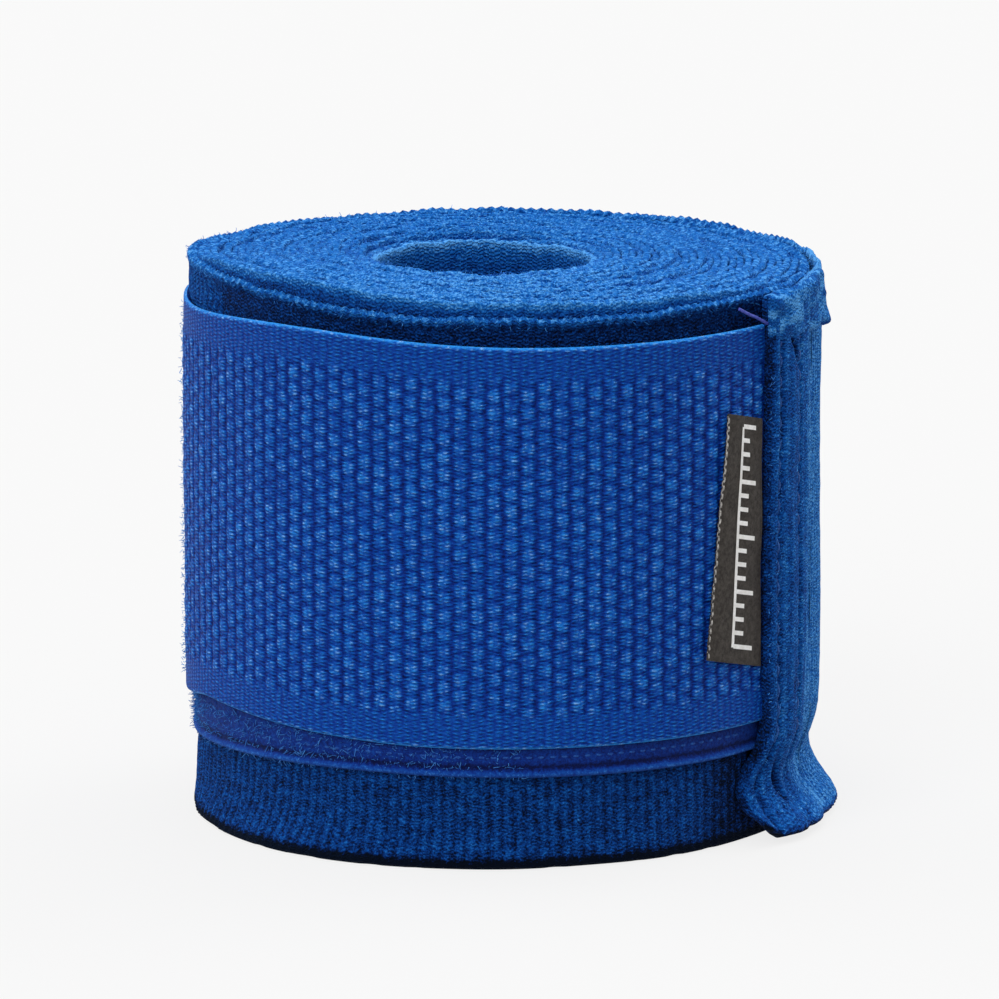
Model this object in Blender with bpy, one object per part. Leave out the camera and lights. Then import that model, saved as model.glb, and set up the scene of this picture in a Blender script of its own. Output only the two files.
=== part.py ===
# A hand wrap, rolled up for storage and standing on its lower edge.
#
# One long band of cotton is wound outwards round an open core, clockwise as seen from above.
# Its inner end carries the thumb loop. Its outer end is folded into a hem, and out of the hem
# comes a strip of hook tape, which closes on a strip of loop tape sewn to the turn beneath.
# The last third of a turn, the hem and the hook strip open as a chain of short stiff pieces,
# hinged about upright axes on their outer face, so the end of the wrap peels off and straightens.
#
# Metres, +Z up, origin at the middle of the underside. Seen from the front, along +Y, the hem
# is on the right and the hook strip runs from it round the front to the left side.

import math

import bmesh
import bpy
from mathutils import Vector

MM = 0.001

# The roll
BAND_WIDTH = 50 * MM
BAND_LENGTH = 3.37  # from the inner end to the hem
BAND_CLOTH = 0.40 * MM  # what is solid in one turn; the rest of the pitch is air
CORE_RADIUS = 9.5 * MM
HEM_RADIUS = 27.6 * MM  # inner face of the band where the hem begins to lift
CORE_SHIFT = Vector((-2.3 * MM, 0.8 * MM, 0))  # the core sits a little off the roll's axis
CORE_RISE = 1.2 * MM  # the inner turns stand a little higher than the outer ones
LEVEL_TURNS = 2  # the last whole turns of the windings, which stand level
ROLL_CENTRE = Vector((-0.57 * MM, 0.57 * MM, 0))  # puts the middle of the whole over the origin

# Plan angles, in degrees
HEM_ANGLE = -38  # folded edge of the hem
STEP = 15  # one facet of the roll, and one stiff piece of the opening end
TURN_PIECES = 6
HEM_STEPS = 2
HOOK_PIECES = 10

# The closure
LOOP_GAP = 0.20 * MM
LOOP_THICKNESS = 0.40 * MM
CLOSURE_GAP = 0.30 * MM
HOOK_THICKNESS = 0.60 * MM
LOOP_HEIGHTS = (8.3 * MM, 45.3 * MM)
HOOK_HEIGHTS = (11.0 * MM, 47.8 * MM)
LOOP_REACH = (-3 * STEP, 11 * STEP)  # past the hem's folded edge, on the turn beneath
PIECE_GAP = 0.30 * MM

# The opening end
TURN_HEIGHTS = (0.5 * MM, 49.6 * MM)
HEM_HEIGHTS = (0.8 * MM, 50.4 * MM)
HEM_THICKNESS = (0.55 * MM, 1.15 * MM, 1.60 * MM)  # from where it lies flat to the folded edge
TURN_CLEARANCE = 0.10 * MM
LIFT_ANGLES = (-80, -3 * STEP)  # where the outer turn climbs onto the end of the loop strip
FOOT_ANGLES = (-65, -30)  # where the foot of the outer turn begins to kick out
FOOT_LEVELS = (2.5 * MM, 8.0 * MM, 14.0 * MM)
FOOT_FLARE = (1.6 * MM, -0.4 * MM, 0.0)

# Trim
THREAD = 0.36 * MM
THREAD_CLEARANCE = 0.30 * MM
STITCH_ANGLES = (-36, -27)  # plan angles of the two seams down the hem
LABEL_TOP = (-39.6, -46.9, 39.4 * MM, 40.2 * MM)  # plan angle and height at the seam and the free edge
LABEL_FOOT = (-39.6, -52.0, 16.4 * MM, 18.0 * MM)
LABEL_THICKNESS = 0.30 * MM
HEM_SEAM_INSET = 1.5 * MM  # below the hem's upper edge
LOOP_SEAM_INSET = 1.0 * MM  # inside the loop strip's edges
LOOP_SEAM_START = 2  # degrees past the hem's folded edge
LOOSE_END_ANGLES = (HEM_ANGLE - 0.9, HEM_ANGLE - 3.7, HEM_ANGLE - 6.5)  # from its root to its tip
LOOSE_END_HEIGHTS = (48.6 * MM, 49.4 * MM, 49.8 * MM)
LOOSE_END_LIFT = (0.7 * MM, 1.0 * MM, 0.7 * MM)  # outside the inner face of the hook strip

# The thumb loop
THUMB_HEIGHTS = (15 * MM, 35 * MM)
THUMB_REACH = (20, -230)  # winding angle from the sewn end to the fold
THUMB_STEP = 10  # one facet of the thumb loop
THUMB_LAYER = 0.35 * MM
THUMB_SLOT = 0.30 * MM
TACK_THICKNESS = 0.30 * MM
TACK_REACH = (14, 4)
TACK_HEIGHTS = (17 * MM, 33 * MM)

PITCH = math.pi * (HEM_RADIUS**2 - CORE_RADIUS**2) / BAND_LENGTH
HEM_WINDING = 360 * (HEM_RADIUS - CORE_RADIUS) / PITCH
OPENING_WINDING = HEM_WINDING - STEP * (TURN_PIECES + HEM_STEPS)
THUMB_RADIUS = CORE_RADIUS - THREAD_CLEARANCE - 2 * THUMB_LAYER - THUMB_SLOT


def smooth(x, low, high):
    t = min(max((x - low) / (high - low), 0), 1)
    return t * t * (3 - 2 * t)


def winding_of(plan_angle):
    """The winding angle of a place on the opening end, from its plan angle."""
    return HEM_WINDING + HEM_ANGLE - plan_angle


def place(winding, radius, height):
    """The point at a winding angle, in degrees from the inner end, at a radius from the turn's centre."""
    inside = max(0, 1 - max(winding, 0) / HEM_WINDING)
    angle = math.radians(HEM_ANGLE + HEM_WINDING - winding)
    centre = ROLL_CENTRE + CORE_SHIFT * inside
    return centre + Vector((radius * math.cos(angle), radius * math.sin(angle), height))


def band_radius(winding):
    return CORE_RADIUS + PITCH * winding / 360


def loop_radius(winding):
    return band_radius(winding) + BAND_CLOTH + LOOP_GAP


def hook_radius(winding):
    """Inner face of the hook strip, above the loop strip of the turn beneath."""
    return loop_radius(winding - 360) + LOOP_THICKNESS + CLOSURE_GAP


def outer_turn_radius(winding):
    lift = smooth(winding - HEM_WINDING, *LIFT_ANGLES)
    on_band = band_radius(winding) + TURN_CLEARANCE
    return on_band + (hook_radius(winding) - on_band) * lift


def foot_flare(winding, height):
    """How far the foot of the outer turn stands out at this height."""
    share = smooth(winding - HEM_WINDING, *FOOT_ANGLES)
    low, waist, high = FOOT_LEVELS
    flare = FOOT_FLARE[0] + (FOOT_FLARE[1] - FOOT_FLARE[0]) * smooth(height, low, waist)
    flare += (FOOT_FLARE[2] - FOOT_FLARE[1]) * smooth(height, waist, high)
    return share * flare


def hem_thickness(winding):
    """Thickness of the hem, which grows from flat cloth to its folded edge."""
    past = (winding - HEM_WINDING) / STEP + HEM_STEPS
    first = min(int(past), HEM_STEPS - 1)
    share = past - first
    return HEM_THICKNESS[first] * (1 - share) + HEM_THICKNESS[first + 1] * share


def flat_strip(windings, heights):
    """A flat strip one unit thick: x is the winding angle, y goes from 0 inside to 1 outside, z is up."""
    bm = bmesh.new()
    columns = len(windings) - 1
    rows = len(heights) - 1
    bmesh.ops.create_grid(bm, x_segments=columns, y_segments=rows, size=1)
    for vertex in bm.verts:
        column = round((vertex.co.x + 1) / 2 * columns)
        row = round((vertex.co.y + 1) / 2 * rows)
        vertex.co = (windings[column], 0, heights[row])
    raised = bmesh.ops.extrude_face_region(bm, geom=bm.faces[:])["geom"]
    bmesh.ops.translate(bm, verts=[v for v in raised if isinstance(v, bmesh.types.BMVert)], vec=(0, 1, 0))
    return bm


def wind(bm, inner, thickness, flare=lambda winding, height: 0, rise=lambda winding: 0):
    """Rolls a flat strip up: inner and thickness give its inner face and its thickness at a winding angle."""
    for vertex in bm.verts:
        winding, depth, height = vertex.co
        radius = inner(winding) + depth * thickness(winding) + flare(winding, height)
        vertex.co = place(winding, radius, height + rise(winding))
    bmesh.ops.recalc_face_normals(bm, faces=bm.faces)
    return bm


def material(name, colour, roughness):
    made = bpy.data.materials.new(name)
    made.use_nodes = True
    shader = made.node_tree.nodes["Principled BSDF"]
    shader.inputs["Base Color"].default_value = (*colour, 1)
    shader.inputs["Roughness"].default_value = roughness
    shader.inputs["Metallic"].default_value = 0
    made.diffuse_color = (*colour, 1)
    return made


def add_mesh(name, bm, finish, origin=None):
    """A new part from a bmesh, with its origin on its joint's axis if it has one."""
    mesh = bpy.data.meshes.new(name)
    bm.to_mesh(mesh)
    bm.free()
    mesh.materials.append(finish)
    part = bpy.data.objects.new(name, mesh)
    parts.objects.link(part)
    if origin is not None:
        for vertex in mesh.vertices:
            vertex.co -= origin
        part.location = origin
    return part


def add_thread(name, points, finish):
    """A sewing thread along a list of points."""
    curve = bpy.data.curves.new(name, "CURVE")
    curve.dimensions = "3D"
    curve.bevel_depth = THREAD / 2
    curve.bevel_resolution = 1
    curve.use_fill_caps = True
    spline = curve.splines.new("POLY")
    spline.points.add(len(points) - 1)
    for spot, point in zip(spline.points, points):
        spot.co = (*point, 1)
    curve.materials.append(finish)
    part = bpy.data.objects.new(name, curve)
    parts.objects.link(part)
    return part


def add_windings():
    """The band from its inner end to where the opening end starts, as one true spiral."""
    steps = int(OPENING_WINDING // STEP)
    last = OPENING_WINDING - math.degrees(PIECE_GAP / 2 / HEM_RADIUS)
    windings = [OPENING_WINDING - STEP * (steps - i) for i in range(steps)] + [last]
    bm = flat_strip(windings, (0, BAND_WIDTH))
    level = OPENING_WINDING - 360 * LEVEL_TURNS

    def rise(winding):
        return CORE_RISE * (1 - min(1, winding / level))

    wind(bm, band_radius, lambda winding: BAND_CLOTH, rise=rise)
    add_mesh("band_windings", bm, cotton)


def add_loop_strip():
    first, last = (HEM_WINDING - 360 + reach for reach in LOOP_REACH)
    count = (LOOP_REACH[1] - LOOP_REACH[0]) // STEP
    windings = [first + STEP * i for i in range(count + 1)]
    bm = flat_strip(windings, LOOP_HEIGHTS)
    wind(bm, loop_radius, lambda winding: LOOP_THICKNESS)
    add_mesh("loop_strip", bm, loop_tape)
    add_loop_stitching(windings)


def add_loop_stitching(windings):
    """One seam along the loop strip's lower edge, from the hem, and up its far end."""
    low, high = LOOP_HEIGHTS
    over = LOOP_THICKNESS + THREAD_CLEARANCE + THREAD / 2
    start = HEM_WINDING - 360 + LOOP_SEAM_START
    end = windings[-1] - math.degrees(LOOP_SEAM_INSET / HEM_RADIUS)
    along = [start] + [winding for winding in windings if start < winding < end]
    points = [place(winding, loop_radius(winding) + over, low + LOOP_SEAM_INSET) for winding in along]
    points.append(place(end, loop_radius(end) + over, low + LOOP_SEAM_INSET))
    points.append(place(end, loop_radius(end) + over, high - LOOP_SEAM_INSET))
    add_thread("loop_strip_stitching", points, thread)


def piece_windings(first, steps):
    """Winding angles of one stiff piece of the opening end, with half a gap left at each end."""
    half_gap = math.degrees(PIECE_GAP / 2 / HEM_RADIUS)
    inner = [first + STEP * i for i in range(1, steps)]
    return [first + half_gap, *inner, first + STEP * steps - half_gap]


def hinge_at(winding, radius):
    return place(winding, radius, 0)


def add_outer_turn():
    """The last stretch of band before the hem, in stiff pieces."""
    for i in range(TURN_PIECES):
        first = OPENING_WINDING + STEP * i
        low, high = TURN_HEIGHTS
        bm = flat_strip(piece_windings(first, 1), (low, *FOOT_LEVELS, high))
        wind(bm, outer_turn_radius, lambda winding: BAND_CLOTH, flare=foot_flare)
        axis_radius = outer_turn_radius(first) + BAND_CLOTH + foot_flare(first, low)
        add_mesh(f"band_outer_turn_{i + 1}", bm, cotton, hinge_at(first, axis_radius))


def add_hem():
    """The folded end of the band, the two seams down it and a loose end of their thread."""
    first = HEM_WINDING - HEM_STEPS * STEP
    low, high = HEM_HEIGHTS
    bm = flat_strip(piece_windings(first, HEM_STEPS), (low, *FOOT_LEVELS, high))
    wind(bm, outer_turn_radius, hem_thickness, flare=foot_flare)
    axis_radius = outer_turn_radius(first) + HEM_THICKNESS[0] + foot_flare(first, low)
    add_mesh("end_hem", bm, cotton, hinge_at(first, axis_radius))
    for i, plan_angle in enumerate(STITCH_ANGLES):
        winding = winding_of(plan_angle)
        over = outer_turn_radius(winding) + hem_thickness(winding) + THREAD_CLEARANCE + THREAD / 2
        heights = [FOOT_LEVELS[1], FOOT_LEVELS[2], high - HEM_SEAM_INSET]
        points = [place(winding, over + foot_flare(winding, height), height) for height in heights]
        add_thread(f"hem_stitching_{i + 1}", points, thread)
    add_loose_thread()


def add_loose_thread():
    """A thread end that sticks out of the top of the hem's folded edge, above the hook strip."""
    windings = [winding_of(plan_angle) for plan_angle in LOOSE_END_ANGLES]
    radii = [hook_radius(windings[0]) + lift for lift in LOOSE_END_LIFT]
    points = [place(*end) for end in zip(windings, radii, LOOSE_END_HEIGHTS)]
    add_thread("loose_thread_end", points, loose_thread)


def add_hook_strip():
    """The hook tape, in stiff pieces from the hem's folded edge to its free tip."""
    for i in range(HOOK_PIECES):
        first = HEM_WINDING + STEP * i
        bm = flat_strip(piece_windings(first, 1), HOOK_HEIGHTS)
        wind(bm, hook_radius, lambda winding: HOOK_THICKNESS)
        origin = hinge_at(first, hook_radius(first) + HOOK_THICKNESS)
        add_mesh(f"hook_strip_{i + 1}", bm, hook_tape, origin)


def add_label():
    """The satin tab sewn into the hem's seam, which lies on the hook strip and flips up about the seam."""
    seam_top, edge_top, seam_high, edge_high = LABEL_TOP
    seam_foot, edge_foot, seam_low, edge_low = LABEL_FOOT
    bm = flat_strip((0, 1), (0, 1))
    for vertex in bm.verts:
        across, depth, up = vertex.co
        seam = seam_foot + (seam_top - seam_foot) * up
        edge = edge_foot + (edge_top - edge_foot) * up
        at_seam = seam_low + (seam_high - seam_low) * up
        at_edge = edge_low + (edge_high - edge_low) * up
        winding = winding_of(seam + (edge - seam) * across)
        radius = label_radius(winding) + depth * LABEL_THICKNESS
        vertex.co = place(winding, radius, at_seam + (at_edge - at_seam) * across)
    bmesh.ops.recalc_face_normals(bm, faces=bm.faces)
    seam = winding_of(seam_top)
    add_mesh("label_tab", bm, satin, hinge_at(seam, label_radius(seam) + LABEL_THICKNESS))


def label_radius(winding):
    return hook_radius(winding) + HOOK_THICKNESS + THREAD_CLEARANCE


def add_thumb_loop():
    """A flattened loop of narrow tape against the wall of the core, and the tack that holds its end."""
    sewn, fold = THUMB_REACH
    count = (sewn - fold) // THUMB_STEP
    windings = [fold + THUMB_STEP * i for i in range(count + 1)]
    layers = (0, THUMB_LAYER, THUMB_LAYER + THUMB_SLOT, 2 * THUMB_LAYER + THUMB_SLOT)
    rows = len(layers) - 1
    bm = bmesh.new()
    bmesh.ops.create_grid(bm, x_segments=count, y_segments=rows, size=1)
    slot = []
    for face in bm.faces:
        middle = face.calc_center_median()
        column = int((middle.x + 1) / 2 * count)
        in_slot = abs(middle.y) < 1 / rows and 0 < column < count - 1
        if in_slot:
            slot.append(face)
    bmesh.ops.delete(bm, geom=slot, context="FACES")
    for vertex in bm.verts:
        column = round((vertex.co.x + 1) / 2 * count)
        layer = round((vertex.co.y + 1) / 2 * rows)
        vertex.co = (windings[column], layers[layer], THUMB_HEIGHTS[0])
    raised = bmesh.ops.extrude_face_region(bm, geom=bm.faces[:])["geom"]
    height = THUMB_HEIGHTS[1] - THUMB_HEIGHTS[0]
    raised_verts = [v for v in raised if isinstance(v, bmesh.types.BMVert)]
    bmesh.ops.translate(bm, verts=raised_verts, vec=(0, 0, height))
    wind(bm, lambda winding: THUMB_RADIUS, lambda winding: 1)
    add_mesh("thumb_loop", bm, cotton)
    bm = flat_strip(TACK_REACH, TACK_HEIGHTS)
    tack_radius = THUMB_RADIUS - THREAD_CLEARANCE - TACK_THICKNESS
    wind(bm, lambda winding: tack_radius, lambda winding: TACK_THICKNESS)
    add_mesh("thumb_loop_tack", bm, thread)


for old in list(bpy.data.objects):
    bpy.data.objects.remove(old)

parts = bpy.data.collections.new("hand_wrap")
bpy.context.scene.collection.children.link(parts)

cotton = material("blue elastic cotton", (0.010, 0.087, 0.352), 0.9)
hook_tape = material("deep blue hook tape", (0.006, 0.052, 0.330), 0.6)
loop_tape = material("deep blue loop tape", (0.006, 0.062, 0.300), 0.85)
satin = material("dark grey satin", (0.040, 0.036, 0.032), 0.5)
thread = material("blue polyester thread", (0.012, 0.075, 0.330), 0.5)
loose_thread = material("violet blue thread", (0.060, 0.070, 0.360), 0.5)

add_windings()
add_thumb_loop()
add_loop_strip()
add_outer_turn()
add_hem()
add_hook_strip()
add_label()
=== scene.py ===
import math

import bmesh
import bpy
import numpy as np
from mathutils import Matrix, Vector


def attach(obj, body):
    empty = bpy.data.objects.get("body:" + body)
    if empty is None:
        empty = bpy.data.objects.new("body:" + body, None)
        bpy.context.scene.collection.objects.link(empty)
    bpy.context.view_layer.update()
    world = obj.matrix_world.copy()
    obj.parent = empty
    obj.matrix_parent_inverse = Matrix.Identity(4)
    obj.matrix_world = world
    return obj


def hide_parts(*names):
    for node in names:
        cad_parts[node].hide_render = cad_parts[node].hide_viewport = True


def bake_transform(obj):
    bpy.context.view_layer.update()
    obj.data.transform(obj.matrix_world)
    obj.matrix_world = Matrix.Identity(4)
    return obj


for name in ("Cube", "Light", "Camera"):
    old = bpy.data.objects.get(name)
    if old is not None:
        bpy.data.objects.remove(old)

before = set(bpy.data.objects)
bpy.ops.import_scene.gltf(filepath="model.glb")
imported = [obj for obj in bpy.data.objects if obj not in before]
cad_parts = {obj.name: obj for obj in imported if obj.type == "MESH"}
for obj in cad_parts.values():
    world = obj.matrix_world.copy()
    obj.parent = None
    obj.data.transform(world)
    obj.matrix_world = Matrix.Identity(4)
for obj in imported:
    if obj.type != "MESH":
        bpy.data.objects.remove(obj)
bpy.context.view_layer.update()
mm = 0.001

# Sizes here are millimetres and degrees. The winding is the angle that the band has turned since its
# inner end, and it grows as the plan angle falls, because the wrap is rolled clockwise seen from above.
roll = dict(
    width=50,            # of the band
    length=3370,         # of the band, inner end to hem
    coreRadius=9.5,
    hemRadius=27.6,      # inner face of the band at the hem
    centre=(-0.57, 0.57),
    coreShift=(-2.3, 0.8),
    hemAngle=-38,        # plan angle of the hem's folded edge
    step=15,             # one stiff piece of the opening end
    turnPieces=6,
    hookPieces=10,
    lift=(-80, -45),     # where the outer turn climbs onto the loop strip's end
    turnStand=0.10,      # the outer turn stands this far off the band
    loopStand=0.60,      # the loop strip off the band
    hookStand=0.70,      # the hook strip off the loop strip
)
pitch = math.pi * (roll["hemRadius"] ** 2 - roll["coreRadius"] ** 2) / roll["length"]
hemWinding = 360 * (roll["hemRadius"] - roll["coreRadius"]) / pitch
openWinding = hemWinding - roll["step"] * (roll["turnPieces"] + 2)
halfStep = roll["step"] / 2
surfaceRadius = 28.0     # one radius for all arc lengths on the outside


def smooth(x, low, high):
    t = np.clip((x - low) / (high - low), 0, 1)
    return t * t * (3 - 2 * t)


def bump(x, middle, reach):
    return np.exp(-(((x - middle) / reach) ** 2))


def place(winding, radius, height):
    # points in metres from windings, radii and heights in millimetres
    inside = np.clip(1 - np.maximum(winding, 0) / hemWinding, 0, None)
    angle = np.radians(roll["hemAngle"] + hemWinding - winding)
    x = roll["centre"][0] + roll["coreShift"][0] * inside + radius * np.cos(angle)
    y = roll["centre"][1] + roll["coreShift"][1] * inside + radius * np.sin(angle)
    return np.stack([x, y, height + 0 * x], axis=1) * mm


def windingAt(plan):
    return hemWinding + roll["hemAngle"] - plan


def planAt(winding):
    return roll["hemAngle"] + hemWinding - winding


def bandRadius(winding):
    return roll["coreRadius"] + pitch * winding / 360


def loopRadius(winding):
    return bandRadius(winding) + roll["loopStand"]


def hookRadius(winding):
    return loopRadius(winding - 360) + roll["hookStand"]


def outerTurnRadius(winding):
    lift = smooth(winding - hemWinding, *roll["lift"])
    onBand = bandRadius(winding) + roll["turnStand"]
    return onBand + (hookRadius(winding) - onBand) * lift


def footFlare(winding, height):
    # the foot of the outer turn kicks out near the hem, below a narrow waist
    share = smooth(winding - hemWinding, -65, -30)
    return share * (1.9 * bump(height, 0.6, 2.0) - 1.1 * bump(height, 5.6, 2.6))


def latticeNoise(x, y, scaleX, scaleY, seed):
    # smooth noise between -1 and 1 from a seeded lattice, one value for each pair of x and y
    size = 64
    table = np.random.RandomState(seed).rand(size, size) * 2 - 1
    x = np.asarray(x) * scaleX
    y = np.asarray(y) * scaleY
    column, row = np.floor(x).astype(int), np.floor(y).astype(int)
    fx, fy = x - column, y - row
    fx, fy = fx * fx * (3 - 2 * fx), fy * fy * (3 - 2 * fy)
    a = table[row % size, column % size]
    b = table[row % size, (column + 1) % size]
    c = table[(row + 1) % size, column % size]
    d = table[(row + 1) % size, (column + 1) % size]
    return (a * (1 - fx) + b * fx) * (1 - fy) + (c * (1 - fx) + d * fx) * fy


def newPiece(name, mesh, material):
    mesh.materials.append(material)
    piece = bpy.data.objects.new(name, mesh)
    bpy.context.scene.collection.objects.link(piece)
    mesh.shade_smooth()
    mesh.set_sharp_from_angle(angle=math.radians(58))
    return piece


def flatSlab(name, columns, rows):
    # a closed flat slab: x along it and z up it from 0 to 1, y 0 on its inner face and 1 on its outer
    bm = bmesh.new()
    bmesh.ops.create_grid(bm, x_segments=columns, y_segments=rows, size=0.5)
    for vertex in bm.verts:
        vertex.co = (vertex.co.x + 0.5, 0, vertex.co.y + 0.5)
    raised = bmesh.ops.extrude_face_region(bm, geom=bm.faces[:])["geom"]
    bmesh.ops.translate(bm, verts=[v for v in raised if isinstance(v, bmesh.types.BMVert)], vec=(0, 1, 0))
    bmesh.ops.recalc_face_normals(bm, faces=bm.faces)
    bm.loops.layers.uv.new("wrap")
    mesh = bpy.data.meshes.new(name)
    bm.to_mesh(mesh)
    bm.free()
    return mesh


def readPoints(mesh):
    points = np.zeros(len(mesh.vertices) * 3)
    mesh.vertices.foreach_get("co", points)
    return points.reshape(-1, 3)


def writeCloth(mesh, points, along, up, relief):
    # the shaped points, a UV map in tenths of a metre along the cloth, and the cloth's tone as the relief
    # attribute, painted light and shade included
    loops = np.zeros(len(mesh.loops), int)
    mesh.loops.foreach_get("vertex_index", loops)
    uv = np.stack([along[loops] / 100, up[loops] / 100], axis=1)
    mesh.uv_layers["wrap"].data.foreach_set("uv", uv.ravel())
    mesh.vertices.foreach_set("co", points.ravel())
    attribute = mesh.attributes.new("relief", "FLOAT", "POINT")
    attribute.data.foreach_set("value", relief.astype(np.float32))
    mesh.update()


def halfRound(distance, radius):
    # 0 at an edge, rising to 1 at the radius as a quarter circle
    return np.sqrt(1 - (1 - np.clip(distance / radius, 0, 1)) ** 2)


def edgeRounding(up, low, high, radius):
    # 1 on the flat of the cloth, falling to 0 at its two edges as a half round
    return halfRound(np.minimum(up - low, high - up), radius)


def spreadRows(t, low, high, crowd):
    # rows from low to high, crowded towards both edges
    return low + (high - low) * (t - crowd * np.sin(2 * np.pi * t) / (2 * np.pi))


def linear(hexColour):
    channels = [int(hexColour[i:i + 2], 16) / 255 for i in (1, 3, 5)]
    return [c / 12.92 if c <= 0.04045 else ((c + 0.055) / 1.055) ** 2.4 for c in channels] + [1]


def addNode(tree, kind, settings=(), inputs=()):
    node = tree.nodes.new(kind)
    for key, value in dict(settings).items():
        setattr(node, key, value)
    for key, value in dict(inputs).items():
        if isinstance(value, bpy.types.NodeSocket):
            tree.links.new(value, node.inputs[key])
        else:
            node.inputs[key].default_value = value
    return node


def newMaterial(name, roughness, sheen=0.0, sheenTint="#ffffff", specular=0.5):
    material = bpy.data.materials.new(name)
    material.use_nodes = True
    tree = material.node_tree
    shader = tree.nodes["Principled BSDF"]
    shader.inputs["Roughness"].default_value = roughness
    shader.inputs["Sheen Weight"].default_value = sheen
    shader.inputs["Sheen Roughness"].default_value = 0.5
    shader.inputs["Sheen Tint"].default_value = linear(sheenTint)
    shader.inputs["Specular IOR Level"].default_value = specular
    return material, tree, shader


def clothCoordinates(tree):
    # the piece's own UV map in millimetres, along the cloth and up it
    uv = addNode(tree, "ShaderNodeUVMap", dict(uv_map="wrap"))
    scaled = addNode(tree, "ShaderNodeVectorMath", dict(operation="SCALE"),
                     {0: uv.outputs[0], "Scale": 100.0})
    parts = addNode(tree, "ShaderNodeSeparateXYZ", inputs={0: scaled.outputs[0]})
    return scaled.outputs[0], parts.outputs[0], parts.outputs[1]


def storedToneWithPaintedLight(tree):
    # the relief attribute is the piece's tone, with painted light and shade in it
    return addNode(tree, "ShaderNodeAttribute", dict(attribute_name="relief")).outputs["Fac"]


def compute(tree, operation, *values):
    return addNode(tree, "ShaderNodeMath", dict(operation=operation), dict(enumerate(values))).outputs[0]


def mixIn(tree, amount, value, base):
    # base + amount * value, the sum that all the tones are built with
    return compute(tree, "MULTIPLY_ADD", value, amount, base)


def stretched(tree, value, low, high):
    return addNode(tree, "ShaderNodeMapRange", inputs={"Value": value, "From Min": low, "From Max": high,
                                                       "To Min": -0.5, "To Max": 0.5}).outputs[0]


def ramped(tree, value, stops):
    ramp = addNode(tree, "ShaderNodeValToRGB", inputs={"Fac": value})
    while len(ramp.color_ramp.elements) < len(stops):
        ramp.color_ramp.elements.new(0.5)
    for element, stop in zip(ramp.color_ramp.elements, stops):
        element.position = stop[0]
    for element, stop in zip(ramp.color_ramp.elements, stops):
        element.color = linear(stop[1])
    return ramp.outputs[0]


def bars(tree, along, up, columnWidth, pitchUp):
    # bars across the columns of a weave, shifted by half a pitch from one column to the next
    column = compute(tree, "DIVIDE", along, columnWidth)
    index = compute(tree, "FLOOR", column)
    across = compute(tree, "PINGPONG", column, 0.5)
    shift = compute(tree, "MULTIPLY", index, math.pi)
    wave = mixIn(tree, 2 * math.pi / pitchUp, up, shift)
    sine = compute(tree, "SINE", wave)
    return mixIn(tree, 0.5, sine, 0.5), across


def fineNoise(tree, vector, scale, detail=3.0, roughness=0.65):
    return addNode(tree, "ShaderNodeTexNoise", inputs={"Vector": vector, "Scale": scale, "Detail": detail,
                                                       "Roughness": roughness}).outputs["Fac"]


def finish(tree, shader, colour, height, distance):
    tree.links.new(colour, shader.inputs["Base Color"])
    surface = addNode(tree, "ShaderNodeBump",
                      inputs={"Height": height, "Strength": 1.0, "Distance": distance * mm})
    tree.links.new(surface.outputs[0], shader.inputs["Normal"])


def cottonMaterial():
    # elastic woven cotton: matt and a little hairy, its ribs crimped by the picks
    look = dict(rib=1.05, crimp=0.34, hair=4.2, cloud=1.1)
    stops = ((0.0, "#020716"), (0.2, "#032058"), (0.48, "#0a4aa2"), (0.78, "#1a72ca"), (1.0, "#5cabf6"))
    material, tree, shader = newMaterial("wovenElasticCotton", 0.95, 0.05, "#4a94e8", 0.05)
    flat, along, up = clothCoordinates(tree)
    bent = mixIn(tree, 0.8, fineNoise(tree, flat, 0.9, 1.0), up)
    crimp = bars(tree, along, bent, look["rib"] / 2, look["crimp"])[0]
    hair = fineNoise(tree, flat, look["hair"], 4.0, 0.75)
    cloud = fineNoise(tree, flat, look["cloud"], 3.0, 0.7)
    # the relief attribute is the piece's tone, painted light and shade included
    relief = storedToneWithPaintedLight(tree)
    tone = mixIn(tree, 0.16, crimp, relief)
    tone = mixIn(tree, 0.75, stretched(tree, hair, 0.3, 0.7), tone)
    tone = mixIn(tree, 0.30, stretched(tree, cloud, 0.3, 0.7), tone)
    height = mixIn(tree, 1.5, hair, crimp)
    finish(tree, shader, ramped(tree, tone, stops), height, 0.18)
    return material


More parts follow.
